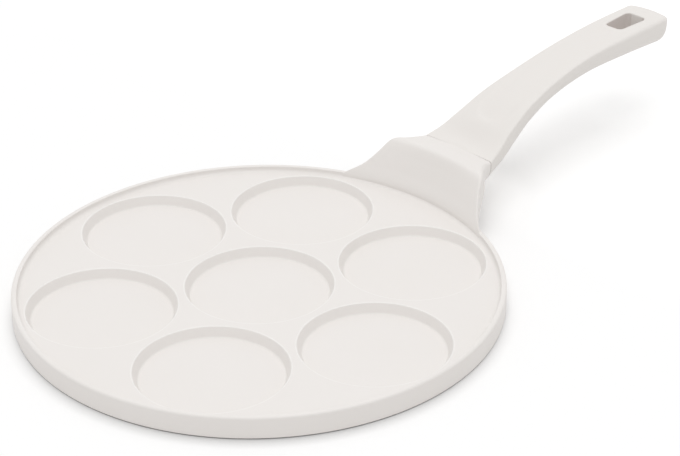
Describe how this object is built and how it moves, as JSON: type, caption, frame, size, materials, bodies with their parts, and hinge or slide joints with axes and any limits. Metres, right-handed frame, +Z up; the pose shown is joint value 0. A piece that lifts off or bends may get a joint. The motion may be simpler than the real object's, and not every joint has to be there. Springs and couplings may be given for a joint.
{
  "type": "pancake pan",
  "caption": "Flat round cast pan with shallow circular moulds inside a raised lip, a rising cast neck and a long curved moulded handle with a hanging hole.",
  "frame": {"origin": "centre of the round plate, on the plane of the base disc's underside that the pan stands on", "axes": "+Z up out of the cooking face, +X along the handle from the plate's centre, +Y to its left"},
  "size_m": [0.4615, 0.26, 0.0625],
  "materials": {
    "coated_casting": "satin off-white non-stick coating on die-cast aluminium",
    "handle_moulding": "soft-touch off-white moulding",
    "base_steel": "stainless steel with fine turning lines",
    "screw_steel": "zinc-plated steel"
  },
  "bodies": {
    "root": {"pan_body": "coated_casting", "induction_disc": "base_steel", "handle": "handle_moulding", "handle_screw": "screw_steel", "spring_washer": "screw_steel", "flat_washer": "screw_steel"}
  },
  "joints": []
}
